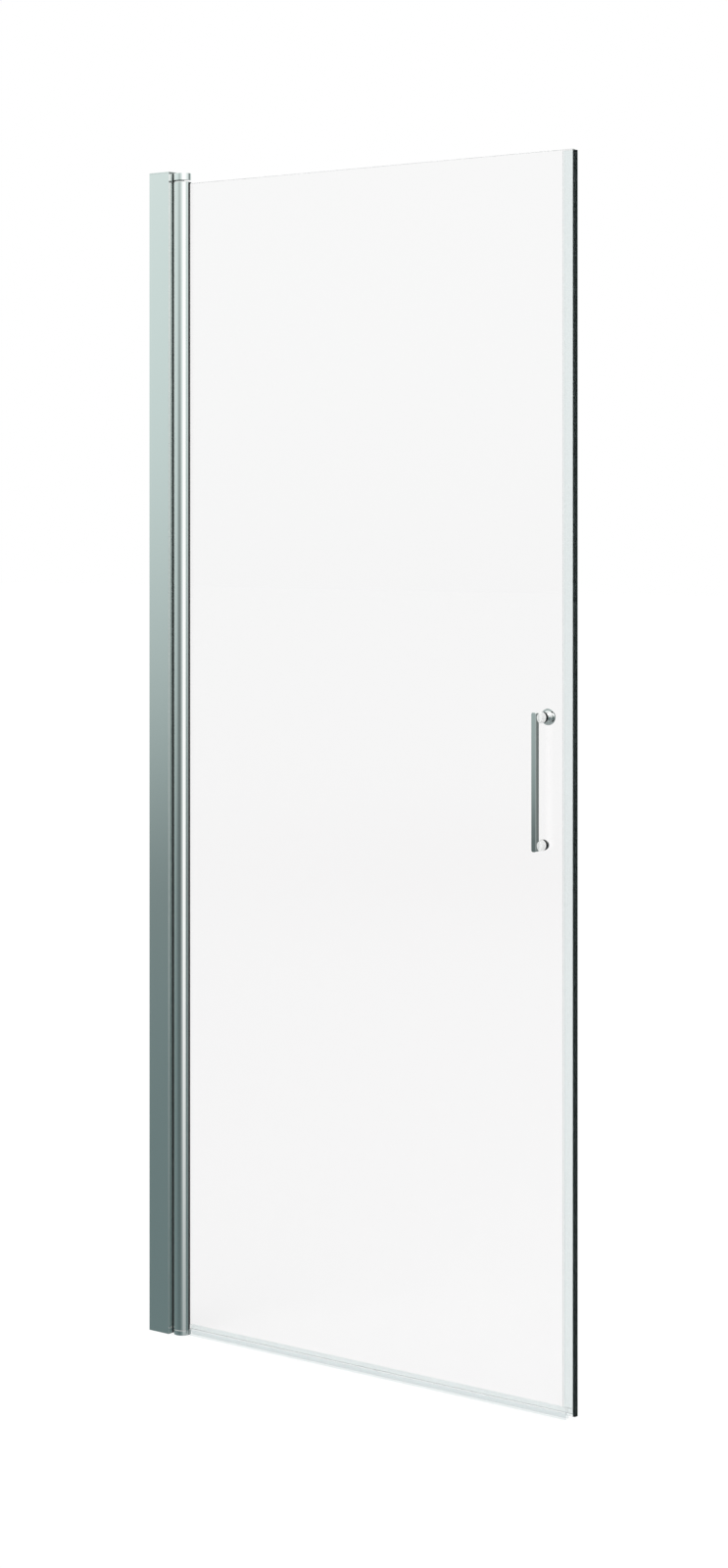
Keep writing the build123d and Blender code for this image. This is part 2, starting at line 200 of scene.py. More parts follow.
doorway_azimuth, doorway_width, backdrop_azimuth, backdrop_width = 57, 15, 131, 22
mirrored = sky.mix(around(doorway_azimuth, doorway_width), mirrored, doorway)
mirrored = sky.mix(around(backdrop_azimuth, backdrop_width), mirrored, white_wall)

straight = sky.add("Math", {"operation": "LESS_THAN"}, {0: bounces, 1: 0.5})
looked_at = sky.add("Math", {"operation": "MAXIMUM"}, {0: seen, 1: through}) * straight
light = sky.mix(looked_at, sky.mix(glossy, even_light, mirrored), white_wall)
sky.add("OutputWorld", {}, {0: sky.add("Background", {}, {"Color": light, "Strength": 1.0})})

lamp = bpy.data.objects.new("key_lamp", bpy.data.lights.new("key_lamp", "SUN"))
bpy.context.scene.collection.objects.link(lamp)
lamp.rotation_euler = (math.radians(38), math.radians(14), 0)
lamp.data.angle = math.radians(50)
lamp.data.energy = 0.75
lamp.visible_glossy = False

floor_mesh = bpy.data.meshes.new("studio_floor")
floor_far, floor_level = 40.0, -0.0002
floor_mesh.from_pydata(
    [(x * floor_far, y * floor_far, floor_level) for x, y in ((-1, -1), (1, -1), (1, 1), (-1, 1))],
    [],
    [(0, 1, 2, 3)],
)
studio_floor = bpy.data.objects.new("studio_floor", floor_mesh)
bpy.context.scene.collection.objects.link(studio_floor)
studio_floor.visible_glossy = False
floor_paint = bpy.data.materials.new("floor_paint")
floor_paint.use_nodes = True
paint = Nodes(floor_paint.node_tree)
bounces = paint.add("LightPath", {}, {}, "Glossy Depth")
east, north, _ = paint.place()
away = paint.add("Math", {"operation": "SQRT"}, {0: east * east + north * north})
glow_reach, far_glow, near_glow, floor_grey = 12, grey(0.722), grey(0.762), grey(0.288)
near_by = paint.add("Math", {"operation": "EXPONENT"}, {0: away / -glow_reach})
glow = paint.add("Emission", {}, {"Color": paint.mix(near_by, far_glow, near_glow), "Strength": 1.0})
pale = paint.add("BsdfDiffuse", {}, {"Color": floor_grey})
lit_floor = paint.add("AddShader", {}, {0: glow, 1: pale})
mirrored_ray = paint.add("Math", {"operation": "GREATER_THAN"}, {0: bounces, 1: 0.5})
see_through = paint.add("BsdfTransparent")
floor_look = paint.add("MixShader", {}, {0: mirrored_ray, 1: lit_floor, 2: see_through})
paint.add("OutputMaterial", {}, {0: floor_look})
floor_mesh.materials.append(floor_paint)


# Wall channel
# A U of mill-finished aluminium, screwed to the wall through its back. It is pressed and sawn, then
# left satin, because the post hides all of it but its ends.
class Finish(Nodes):
    """A material with one Principled shader. Numbers go straight on its sockets."""

    def __init__(self, name):
        self.material = bpy.data.materials.new(name)
        self.material.use_nodes = True
        super().__init__(self.material.node_tree)

    def noise(self, scales, detail=2.0):
        """Cloudy noise about 0.5, with so many cells to the metre along each axis."""
        east, north, height = self.place()
        vector = self.add(
            "CombineXYZ", {}, {0: east * scales[0], 1: north * scales[1], 2: height * scales[2]}
        )
        return self.add("TexNoise", {}, {"Vector": vector, "Scale": 1.0, "Detail": detail})

    def bump(self, height, distance):
        """A surface normal from a height field, in metres for each unit."""
        return self.add("Bump", {}, {"Height": height, "Distance": distance, "Strength": 1.0})

    def surface(self, **values):
        """Joins the shader's sockets, written with an underscore for a space, and closes the tree."""
        sockets = {name.replace("_", " ").replace("Ior", "IOR"): value for name, value in values.items()}
        self.add("OutputMaterial", {}, {0: self.add("BsdfPrincipled", {}, sockets)})
        return self.material


def repaint(node, material):
    """Puts a finish in every material slot of a CAD node."""
    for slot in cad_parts[node].material_slots:
        slot.material = material


satin = Finish("satin_aluminium")
grain = satin.noise((2500, 2500, 6))
repaint(
    "wall_channel",
    satin.surface(
        Base_Color=satin.mix(grain, (0.70, 0.71, 0.71, 1), (0.80, 0.81, 0.81, 1)),
        Metallic=1.0,
        Roughness=0.3 + grain * 0.12,
        Normal=satin.bump(grain, 0.000006),
    ),
)

# Hinge post
# The adjustable post that slides over the wall channel, an aluminium extrusion, polished and clear
# anodised. Its die leaves faint lines along its length.
polished = Finish("polished_aluminium")
die_lines = polished.noise((1400, 1400, 1.5))
clouds = polished.noise((9, 9, 4))
polished_aluminium = polished.surface(
    Base_Color=polished.mix(clouds, (0.855, 0.875, 0.868, 1), (0.885, 0.9, 0.895, 1)),
    Metallic=1.0,
    Roughness=0.09 + die_lines * 0.05 + clouds * 0.02,
    Normal=polished.bump(die_lines, 0.0000015),
)
repaint("hinge_post", polished_aluminium)

# Post top cap
# A moulded cap pushed into the top of the post, metallised to match it, with a softened top edge
# and a plug that drops into the closed chamber.
mm = 0.001
post_left, post_right, post_half = 0.5 * mm, 45.0 * mm, 18.0 * mm
post_top, screen_top, plug_bottom = 1998 * mm, 2000 * mm, 1997.2 * mm
chamber_left, chamber_right, chamber_half = 32 * mm, 43 * mm, 16 * mm


def rounded(corners, radii, steps=6):
    """The outline of a polygon with an arc at each corner that touches both its sides. The corners come in
    order, and each arc's centre lies on its corner's bisector, at its radius divided by the sine of half
    the corner's angle."""
    corners = np.array(corners, float)
    radii = np.broadcast_to(np.array(radii, float), len(corners))[:, None]
    back = np.roll(corners, 1, 0) - corners
    ahead = np.roll(corners, -1, 0) - corners
    back /= np.linalg.norm(back, axis=1, keepdims=True)
    ahead /= np.linalg.norm(ahead, axis=1, keepdims=True)
    half = np.arccos(np.clip((back * ahead).sum(1), -1, 1))[:, None] / 2
    middle = back + ahead
    centre = corners + middle / np.linalg.norm(middle, axis=1, keepdims=True) * radii / np.sin(half)
    start = corners + back * radii / np.tan(half) - centre
    end = corners + ahead * radii / np.tan(half) - centre
    first = np.arctan2(start[:, 1], start[:, 0])
    sweep = (np.arctan2(end[:, 1], end[:, 0]) - first + math.pi) % (2 * math.pi) - math.pi
    angle = first[:, None] + sweep[:, None] * np.linspace(0, 1, steps + 1)
    points = centre[:, None] + radii[:, None] * np.stack([np.cos(angle), np.sin(angle)], -1)
    return points.reshape(-1, 2)


def grid(rings, across=False):
    """Four-sided faces between neighbouring rings of points, numbered ring by ring. across also joins the
    last ring to the first."""
    count, ring_size = rings.shape[:2]
    rows = np.arange(count if across else count - 1)[:, None]
    columns = np.arange(ring_size)[None]
    low, high = rows * ring_size, (rows + 1) % count * ring_size
    beside = (columns + 1) % ring_size
    return np.stack([low + columns, low + beside, high + beside, high + columns], -1).reshape(-1, 4)


def carried(outlines, low, high, axis=2, edge=0.15 * mm, steps=3):
    """A section carried straight along an axis. The first outline is its outside and the others its holes,
    each in the two axes that follow in the order x, y, z, x. Near both ends each outline moves into the
    material by edge * (1 - sin t) and along by edge * (1 - cos t), t from 0 to a quarter turn, so that the
    cut ends have rounded rims; one step makes it a flat chamfer. The ends are filled with triangles."""
    quarter = np.linspace(0, math.pi / 2, steps + 1)
    inset = np.concatenate([1 - np.sin(quarter), 1 - np.sin(quarter[::-1])]) * edge
    along = np.concatenate([low + (1 - np.cos(quarter)) * edge, high - (1 - np.cos(quarter[::-1])) * edge])
    points, faces, ends, start = [], [], [], 0
    for outline, inside in zip(outlines, [False] + [True] * (len(outlines) - 1)):
        ahead = np.roll(outline, -1, 0)
        area = (outline[:, 0] * ahead[:, 1] - outline[:, 1] * ahead[:, 0]).sum()
        if (area < 0) != inside:
            outline = outline[::-1]
        run = np.roll(outline, -1, 0) - outline
        run /= np.linalg.norm(run, axis=1, keepdims=True)
        left = np.stack([-run[:, 1], run[:, 0]], -1)
        before = np.roll(left, 1, 0)
        corner = (left + before) / (1 + (left * before).sum(1))[:, None]
        rings = outline[None] + inset[:, None, None] * corner[None]
        solid = np.empty((*rings.shape[:2], 3))
        solid[..., (axis + 1) % 3] = rings[..., 0]
        solid[..., (axis + 2) % 3] = rings[..., 1]
        solid[..., axis] = along[:, None]
        points.append(solid.reshape(-1, 3))
        faces.append(grid(rings) + start)
        ends.append((rings[0], start, start + (len(inset) - 1) * len(outline)))
        start += len(inset) * len(outline)
    flat_ends = np.concatenate([e[0] for e in ends])
    bottom = np.concatenate([np.arange(len(e[0])) + e[1] for e in ends])
    top = np.concatenate([np.arange(len(e[0])) + e[2] for e in ends])
    filled = np.array(geometry.tessellate_polygon([[(*p, 0) for p in e[0].tolist()] for e in ends]))
    a, b, c = flat_ends[filled[:, 0]], flat_ends[filled[:, 1]], flat_ends[filled[:, 2]]
    turn = (b[:, 0] - a[:, 0]) * (c[:, 1] - a[:, 1]) - (b[:, 1] - a[:, 1]) * (c[:, 0] - a[:, 0])
    filled = np.where((turn < 0)[:, None], filled[:, ::-1], filled)[np.abs(turn) > 1e-16]
    return np.concatenate(points), [np.concatenate(faces), top[filled], bottom[filled[:, ::-1]]]


def piece(name, shells, body, nodes, material, angle=40):
    """One object from closed shells of points and faces. A shell whose signed volume, the sum of its
    triangles' triple products, is negative has its faces turned round. Edges sharper than the angle, in
    degrees, stay crisp."""
    points, faces, start = [], [], 0
    for shell_points, shell_faces in shells:
        volume = sum(
            np.einsum(
                "ij,ij->", shell_points[f[:, 0]], np.cross(shell_points[f[:, k]], shell_points[f[:, k + 1]])
            )
            for f in shell_faces
            for k in range(1, f.shape[1] - 1)
        )
        turned_out = [f if volume > 0 else f[:, ::-1] for f in shell_faces]
        faces += [row for f in turned_out for row in (f + start).tolist()]
        points.append(shell_points)
        start += len(shell_points)
    mesh = bpy.data.meshes.new(name)
    mesh.from_pydata(np.concatenate(points), [], faces)
    mesh.polygons.foreach_set("use_smooth", np.ones(len(faces), bool))
    mesh.set_sharp_from_angle(angle=math.radians(angle))
    mesh.materials.append(material)
    made = bpy.data.objects.new(name, mesh)
    bpy.context.scene.collection.objects.link(made)
    even = made.modifiers.new("even_shading", "WEIGHTED_NORMAL")
    even.keep_sharp = True
    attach(made, body)
    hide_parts(*nodes)
    return made


metallised = Finish("polished_plastic")
ripple = metallised.noise((60, 60, 60))
polished_plastic = metallised.surface(
    Base_Color=metallised.mix(ripple, (0.80, 0.82, 0.815, 1), (0.85, 0.865, 0.86, 1)),
    Metallic=1.0,
    Roughness=0.16 + ripple * 0.06,
    Normal=metallised.bump(ripple, 0.00002),
)


def box_outline(x0, x1, y0, y1, radius, steps=6):
    """A rectangle with four equal rounded corners."""
    return rounded([(x0, y0), (x1, y0), (x1, y1), (x0, y1)], radius, steps)


cap_plate = rounded(
    [(post_left, -post_half), (post_right, -post_half), (post_right, post_half), (post_left, post_half)],
    [0.2 * mm, 0.8 * mm, 0.8 * mm, 0.2 * mm],
)
cap_plug = box_outline(chamber_left, chamber_right, -chamber_half, chamber_half, 0.6 * mm)
piece(
    "post_top_cap_moulding",
    [
        carried([cap_plate], post_top, screen_top, edge=0.18 * mm),
        carried([cap_plug], plug_bottom, post_top + 0.2 * mm),
    ],
    "post",
    ["post_top_cap"],
    polished_plastic,
)

# Adjusting screws and their caps
# Three steel button screws run through slots in the post's inside face into the channel. Each hides
# under a snap-on cup that is moulded and metallised like the post's top cap.
steel = Finish("steel")
swirl = steel.noise((1800, 1800, 1800))
screw_steel = steel.surface(
    Base_Color=steel.mix(swirl, (0.56, 0.55, 0.54, 1), (0.66, 0.65, 0.64, 1)),
    Metallic=1.0,
    Roughness=0.22 + swirl * 0.14,
    Normal=steel.bump(swirl, 0.000008),
)
screw_x, screw_heights = 22 * mm, (120 * mm, 1000 * mm, 1880 * mm)
cup_radius, cup_wall, cup_seat, cup_top = 4.6 * mm, 0.8 * mm, 18.2 * mm, 21.4 * mm


def turned(outline, centre, axis=1, steps=64):
    """An outline of (radius, distance along) turned once round a line through centre. It is either a closed
    loop that never meets the line, or runs from the line back to it, where its two ends are closed by fans
    of triangles."""
    outline = np.array(outline, float)
    angle = np.arange(steps) / steps * 2 * math.pi
    open_ends = outline[0, 0] < 1e-9
    turning = outline[1:-1] if open_ends else outline
    rings = np.empty((len(turning), steps, 3))
    rings[..., axis] = turning[:, 1:]
    rings[..., (axis + 1) % 3] = turning[:, :1] * np.cos(angle)
    rings[..., (axis + 2) % 3] = turning[:, :1] * np.sin(angle)
    faces = [grid(rings, across=not open_ends)]
    points = rings.reshape(-1, 3)
    if open_ends:
        poles = np.zeros((2, 3))
        poles[:, axis] = outline[[0, -1], 1]
        ring = np.arange(steps)
        beside = (ring + 1) % steps
        last = (len(turning) - 1) * steps
        first_fan = np.stack([np.full(steps, len(points)), beside, ring], -1)
        last_fan = np.stack([np.full(steps, len(points) + 1), ring + last, beside + last], -1)
        points = np.concatenate([points, poles])
        faces += [first_fan, last_fan]
    return points + np.array(centre), faces


def softened(corners, radii, steps=4):
    """A turned piece's outline with rounded corners. The ones on the axis stay as they are, with radius 0."""
    loop = rounded(corners, np.maximum(radii, 1e-7), steps).reshape(len(corners), steps + 1, 2)
    return np.concatenate([arc if r > 0 else [corner] for arc, r, corner in zip(loop, radii, corners)])


cup_inside, cup_ceiling = cup_radius - cup_wall, cup_top - cup_wall
cup = softened(
    [
        (0, cup_top),
        (cup_radius, cup_top),
        (cup_radius, cup_seat),
        (cup_inside, cup_seat),
        (cup_inside, cup_ceiling),
        (0, cup_ceiling),
    ],
    [0, 1.2 * mm, 0.1 * mm, 0.1 * mm, 0.5 * mm, 0],
)
repaint("adjusting_screws", screw_steel)
piece(
    "adjusting_screw_cups",
    [turned(cup, (screw_x, 0, z)) for z in screw_heights],
    "wall_side",
    ["adjusting_screw_caps"],
    polished_plastic,
)

# Hinge blocks
# Two chromed zinc blocks. A spigot slides into the post's chamber, an arm reaches out through a notch,
# and a round end as wide as the stile carries the pivot pin.
plating = Finish("chrome")
smudges = plating.noise((70, 70, 70), 4)
chrome = plating.surface(
    Base_Color=plating.mix(smudges, (0.92, 0.933, 0.93, 1), (0.95, 0.96, 0.958, 1)),
    Metallic=1.0,
    Roughness=0.03 + smudges * 0.05,
    Normal=plating.bump(smudges, 0.000004),
)
axis_x, stile_radius, arm_half, arm_start = 61 * mm, 15 * mm, 4 * mm, 42.8 * mm
pin_hole, hole_floor, hole_overlap, spigot_length = 3.02 * mm, 1.98 * mm, 0.4 * mm, 60 * mm
low_block_top, high_block_bottom, high_block_top = 8 * mm, 1984.8 * mm, 1997 * mm


def keyhole(steps=72):
    """The outline of a round end with an arm: a long arc about the hinge axis, a short slope at each side of
    the arm's root, and the arm's straight sides and square end."""
    slope_turn, slope_length = 0.05, 0.6 * mm
    meet = math.asin(arm_half / stile_radius)
    angle = np.linspace(-math.pi + meet + slope_turn, math.pi - meet - slope_turn, steps)
    disc = np.stack([axis_x + stile_radius * np.cos(angle), stile_radius * np.sin(angle)], -1)
    root = axis_x - stile_radius * math.cos(meet) - slope_length
    arm = [(root, arm_half), (arm_start, arm_half), (arm_start, -arm_half), (root, -arm_half)]
    return np.concatenate([disc, arm])


def circle(x, y, radius, steps=48):
    """A round outline."""
    angle = np.arange(steps) / steps * 2 * math.pi
    return np.stack([x + radius * np.cos(angle), y + radius * np.sin(angle)], -1)


spigot = box_outline(chamber_left, chamber_right, -chamber_half, chamber_half, 0.8 * mm)
piece(
    "bottom_hinge_block_casting",
    [
        carried([keyhole(), circle(axis_x, 0, pin_hole)], 0, low_block_top, edge=0.25 * mm),
        carried([circle(axis_x, 0, pin_hole + hole_overlap)], hole_overlap, hole_floor),  # under the pin
        carried([spigot], 0, spigot_length),
    ],
    "post",
    ["bottom_hinge_block"],
    chrome,
)
piece(
    "top_hinge_block_casting",
    [
        carried([keyhole()], high_block_bottom, high_block_top, edge=0.4 * mm, steps=4),
        carried([spigot], high_block_top - spigot_length, high_block_top),
    ],
    "post",
    ["top_hinge_block"],
    chrome,
)
repaint("hinge_block_screws", screw_steel)
repaint("top_pivot_pin", screw_steel)
repaint("bottom_pivot_pin", screw_steel)

# Gap seal
# A soft dark strip that closes the gap between the post and the round stile. Its barbed foot is
# pushed along a slot in the post.
rubber = Finish("dark_seal")
bloom = rubber.noise((400, 400, 30), 3)
dark_seal = rubber.surface(
    Base_Color=rubber.mix(bloom, (0.020, 0.022, 0.022, 1), (0.034, 0.036, 0.036, 1)),
    Roughness=0.42 + bloom * 0.16,
    Normal=rubber.bump(bloom, 0.00001),
)
seal_left, seal_front, seal_back, seal_reach = 45.05 * mm, -6.3 * mm, -4.6 * mm, 15.3 * mm
seal_bottom, seal_top, foot_bottom, foot_top = 0.2 * mm, 1997 * mm, 60.2 * mm, 1936.8 * mm
sweep = np.linspace(math.asin(seal_front / seal_reach), math.asin(seal_back / seal_reach), 12)
hollow = np.stack([axis_x - seal_reach * np.cos(sweep), seal_reach * np.sin(sweep)], -1)
strip = np.concatenate([[(seal_left, seal_back), (seal_left, seal_front)], hollow])
foot = rounded(
    [
        (45.2 * mm, -6.28 * mm),
        (45.2 * mm, -4.62 * mm),
        (43.15 * mm, -4.62 * mm),
        (42.9 * mm, -3.72 * mm),
        (41.75 * mm, -4.65 * mm),
        (41.75 * mm, -6.25 * mm),
        (42.9 * mm, -7.18 * mm),
        (43.15 * mm, -6.28 * mm),
    ],
    0.08 * mm,
    3,
)
piece(
    "gap_seal_strip",
    [
        carried([strip], seal_bottom, seal_top, edge=0.1 * mm),
        carried([foot], foot_bottom, foot_top, edge=0.05 * mm),
    ],
    "post",
    ["hinge_gap_seal"],
    dark_seal,
)

# Bushes
# White nylon bushes, turned and pressed into the ends of the stile. Each flange closes the stile's end
# and slides on its hinge block.
nylon = Finish("white_plastic")
mottle = nylon.noise((500, 500, 500))
white_plastic = nylon.surface(
    Base_Color=nylon.mix(mottle, (0.955, 0.96, 0.955, 1), (0.98, 0.985, 0.98, 1)),
    Roughness=0.35 + mottle * 0.15,
    Normal=nylon.bump(mottle, 0.00001),
)
bush_radius, bush_bore, bush_length = 5 * mm, 3.05 * mm, 20 * mm
flange_radius, flange_thickness = 14 * mm, 0.9 * mm
stile_bottom, stile_top = 9 * mm, 1981.8 * mm


def bush_outline(flange_root, inwards):
    """A bush's section: the flange from its face to its root at the stile's end, then the body into the
    stile, with a small lead-in. inwards is 1 where the body points up and -1 where it points down."""
    flange_face, body_end = flange_root - inwards * flange_thickness, flange_root + inwards * bush_length
    return rounded(
        [
            (bush_bore, flange_face),
            (flange_radius, flange_face),
            (flange_radius, flange_root),
            (bush_radius, flange_root),
            (bush_radius, body_end),
            (bush_bore, body_end),
        ],
        [0.15 * mm, 0.2 * mm, 0.2 * mm, 0.05 * mm, 0.5 * mm, 0.15 * mm],
        4,
    )


for name, node, outline in (
    ("top_bush_turning", "top_bush", bush_outline(stile_top, -1)),
    ("bottom_bush_turning", "bottom_bush", bush_outline(stile_bottom, 1)),
):
    piece(name, [turned(outline, (axis_x, 0, 0), 2)], "door", [node], white_plastic)

# Door stile
# A round aluminium extrusion, polished like the post, with a bore for the bushes held on four ribs and
# a slot between two lips for the glass. It is sawn square at both ends.
stile_inside, boss, bush_seat, rib_half = 13.2 * mm, 6.6 * mm, 5.02 * mm, 0.9 * mm
slot_half, lip_face = 4.5 * mm, 6 * mm
front_lip, back_lip = 79 * mm, 76 * mm


def stile_outline(steps=110):
    """The stile's outside: the long arc between its two lips, then round each lip and the slot between
    them."""
    meet = math.asin(lip_face / stile_radius)
    angle = np.linspace(meet, 2 * math.pi - meet, steps)
    shell = np.stack([axis_x + stile_radius * np.cos(angle), stile_radius * np.sin(angle)], -1)
    root = axis_x + boss
    lips = rounded(
        [
            (axis_x, -lip_face),
            (front_lip, -lip_face),
            (front_lip, -slot_half),
            (root, -slot_half),
            (root, slot_half),
            (back_lip, slot_half),
            (back_lip, lip_face),
            (axis_x, lip_face),
        ],
        [0.01 * mm, 0.5 * mm, 0.3 * mm, 0.3 * mm, 0.3 * mm, 0.3 * mm, 0.5 * mm, 0.01 * mm],
        4,
    ).reshape(8, 5, 2)[1:7]
    return np.concatenate([shell, lips.reshape(-1, 2)])


def chamber(start, end, steps=14):
    """One hollow of the stile between two angles in degrees: an outer arc inside the wall and an inner arc
    round the bore, each trimmed to stay clear of the ribs by half their width."""
    outer_trim, inner_trim = math.asin(rib_half / stile_inside), math.asin(rib_half / boss)
    a, b = math.radians(start), math.radians(end)
    outer = np.linspace(a + outer_trim, b - outer_trim, steps)
    inner = np.linspace(b - inner_trim, a + inner_trim, steps)
    radius = np.concatenate([np.full(steps, stile_inside), np.full(steps, boss)])
    angle = np.concatenate([outer, inner])
    return np.stack([axis_x + radius * np.cos(angle), radius * np.sin(angle)], -1)


def side_chamber(side, steps=12):
    """The hollow between a rib and a lip: it follows the wall and the bore, and ends at the lip's root."""
    top, low = math.asin(lip_face / stile_inside), math.asin(lip_face / boss)
    outer = np.linspace(top, math.pi / 2 - math.asin(rib_half / stile_inside), steps)
    inner = np.linspace(math.pi / 2 - math.asin(rib_half / boss), low, steps)
    radius = np.concatenate([np.full(steps, stile_inside), np.full(steps, boss)])
    angle = np.concatenate([outer, inner]) * side
    return np.stack([axis_x + radius * np.cos(angle), radius * np.sin(angle)], -1)


piece(
    "door_stile_extrusion",
    [
        carried(
            [
                stile_outline(),
                circle(axis_x, 0, bush_seat),
                chamber(90, 180),
                chamber(180, 270),
                side_chamber(1),
                side_chamber(-1),
            ],
            stile_bottom,
            stile_top,
            edge=0.12 * mm,
        )
    ],
    "door",
    ["door_stile"],
    polished_aluminium,
)

# Glazing gasket and support block
# A soft dark channel pushed into the stile's slot with the glass. Its bead laps the glass in front and
# hides the edge of the lip. The glass stands on a block of black acetal in the foot of the slot.
glass_half, glass_left, glass_bottom, glass_top = 3 * mm, 69.1 * mm, 12 * mm, 1978.8 * mm
near, far, bead_face, bead_end = 3.05 * mm, 4.45 * mm, 5.55 * mm, 81.3 * mm
gasket_left, glass_stop, bead_start = 67.65 * mm, 69.05 * mm, front_lip + 0.05 * mm
gasket = rounded(
    [
        (gasket_left, -far),
        (bead_start, -far),
        (bead_start, -bead_face),
        (bead_end, -bead_face),
        (bead_end, -near),
        (glass_stop, -near),
        (glass_stop, near),
        (back_lip, near),
        (back_lip, far),
        (gasket_left, far),
    ],
    np.array([0.3, 0.1, 0.4, 1.0, 0.2, 0.2, 0.2, 0.5, 0.5, 0.3]) * mm,
    5,
)
piece(
    "glazing_gasket_strip",
    [carried([gasket], glass_bottom, glass_top)],
    "door",
    ["glazing_gasket"],
    dark_seal,
)
acetal = Finish("dark_plastic")
specks = acetal.noise((900, 900, 900))
dark_plastic = acetal.surface(
    Base_Color=acetal.mix(specks, (0.024, 0.024, 0.025, 1), (0.040, 0.040, 0.041, 1)),
    Roughness=0.3 + specks * 0.15,
    Normal=acetal.bump(specks, 0.000008),
)
repaint("glass_support_block", dark_plastic)

# Glass panel
# One pane of 6 mm toughened glass, nearly colourless and greener where its edge is seen, with a ground
# arris all round. Toughening leaves a very faint roller wave across its faces.
glass_right, glass_hole, rough_edge = 874.75 * mm, 6 * mm, 0.6 * mm
handle_x, low_hole, high_hole = 817 * mm, 892.5 * mm, 1092.5 * mm
pane = Finish("clear_glass")
east, north, height = pane.place()
rim = pane.add("Math", {"operation": "GREATER_THAN"}, {0: height, 1: glass_top - rough_edge})
wave = pane.noise((2.5, 1, 3.5), 1)
clear_glass = pane.surface(
    Base_Color=pane.mix(rim, (0.959, 0.951, 0.952, 1), (0.99, 1, 0.995, 1)),
    Transmission_Weight=1.0,
    Roughness=rim * 0.6,
    IOR=1.5,
    Normal=pane.bump(wave, 0.00002),
)
glass_face = [
    box_outline(glass_bottom, glass_top, glass_left, glass_right, 0.6 * mm, 4),
    circle(low_hole, handle_x, glass_hole),
    circle(high_hole, handle_x, glass_hole),
]
glass_panel = piece(
    "glass_pane",
    [carried(glass_face, -glass_half, glass_half, axis=1, edge=0.3 * mm, steps=1)],
    "door",
    ["glass_panel"],
    clear_glass,
)
glass_panel.visible_shadow = False

# Edge seal and its magnet
# A clear soft PVC extrusion pushed over the closing edge of the glass. Its two legs grip the pane, and
# a pocket outside its web holds a dark magnetic strip. Its lower corner is cut away for the drip seal.
soft_clear = Finish("clear_seal")
drawn = soft_clear.noise((900, 900, 4), 2)
_, _, height = soft_clear.place()
# Below the glass the seals are painted a darker grey, fading in from 11.9 mm down to 10.7 mm. This is painted
# shade at their foot, not a different PVC.
foot_shade_start, foot_shade_full = 11.9 * mm, 10.7 * mm
foot_shade = soft_clear.add("MapRange", {}, {0: height, 1: foot_shade_start, 2: foot_shade_full})
gripping = soft_clear.mix(drawn, (0.905, 0.937, 0.937, 1), (0.925, 0.952, 0.952, 1))
clear_seal = soft_clear.surface(
    Base_Color=soft_clear.mix(foot_shade, gripping, (0.835, 0.865, 0.87, 1)),
    Transmission_Weight=1.0,
    Roughness=0.08 + drawn * 0.08,
    IOR=1.15,
    Normal=soft_clear.bump(drawn, 0.000006),
)
edge_left, edge_cut, edge_web, edge_right = 856.7 * mm, 862.9 * mm, 874.8 * mm, 880 * mm
edge_bottom, edge_notch, edge_top, edge_half = 8.9 * mm, 20.2 * mm, 1976.8 * mm, 4.25 * mm
pocket_left, pocket_right, pocket_half = 876 * mm, 879.6 * mm, 3.85 * mm


def edge_section(leg_end):
    """The edge seal's outside, with its legs reaching back to leg_end."""
    return rounded(
        [
            (leg_end, -edge_half),
            (edge_right, -edge_half),
            (edge_right, edge_half),
            (leg_end, edge_half),
            (leg_end, near),
            (edge_web, near),
            (edge_web, -near),
            (leg_end, -near),
        ],
        [0.4 * mm, 0.5 * mm, 0.5 * mm, 0.4 * mm, 0.2 * mm, 0.3 * mm, 0.3 * mm, 0.2 * mm],
        4,
    )


pocket = box_outline(pocket_left, pocket_right, -pocket_half, pocket_half, 0.3 * mm, 3)
edge_seal = piece(
    "edge_seal_extrusion",
    [
        carried([edge_section(edge_left), pocket], edge_notch, edge_top, edge=0.1 * mm),
        carried([edge_section(edge_cut), pocket], edge_bottom, edge_notch, edge=0.1 * mm),
    ],
    "door",
    ["edge_seal"],
    clear_seal,
)
edge_seal.visible_shadow = False
ferrite = Finish("dark_magnet")
powder = ferrite.noise((1500, 1500, 200), 3)
dark_magnet = ferrite.surface(
    Base_Color=ferrite.mix(powder, (0.006, 0.010, 0.010, 1), (0.011, 0.016, 0.016, 1)),
    Roughness=0.45 + powder * 0.2,
    Specular_Ior_Level=0.25,
    Normal=ferrite.bump(powder, 0.000006),
)
ease = 0.05 * mm
magnet_half = pocket_half - ease
magnet = box_outline(pocket_left + ease, pocket_right - ease, -magnet_half, magnet_half, 0.3 * mm, 3)
piece(
    "magnet_strip_bar",
    [carried([magnet], edge_bottom, edge_top)],
    "door",
    ["magnet_strip"],
    dark_magnet,
)

# Drip seal
# The same clear PVC under the glass: two legs that grip its lower edge, a skirt that hangs down in front
# and a slanted fin behind that throws the water back over the tray.
drip_left, drip_right = 81.5 * mm, 862.7 * mm
drip_half, skirt_inner, fin_root, fin_tip, fin_thick = 4.25 * mm, 3.25 * mm, 0, 3.05 * mm, 1 * mm
drip_top, web_top, web_bottom = 20 * mm, 11.95 * mm, 10.75 * mm
fin_bottom, skirt_bottom = 1.8 * mm, 0.8 * mm
drip = rounded(
    [
        (-drip_half, skirt_bottom),
        (-skirt_inner, skirt_bottom),
        (-skirt_inner, web_bottom),
        (fin_root, web_bottom),
        (fin_tip, fin_bottom),
        (fin_tip + fin_thick, fin_bottom),
        (fin_root + fin_thick, web_bottom),
        (drip_half, web_bottom),
        (drip_half, drip_top),
        (near, drip_top),
        (near, web_top),
        (-near, web_top),
        (-near, drip_top),
        (-drip_half, drip_top),
    ],
    np.array([0.4, 0.4, 0.3, 0.2, 0.1, 0.3, 0.2, 0.4, 0.4, 0.2, 0.3, 0.3, 0.2, 0.4]) * mm,
    4,
)
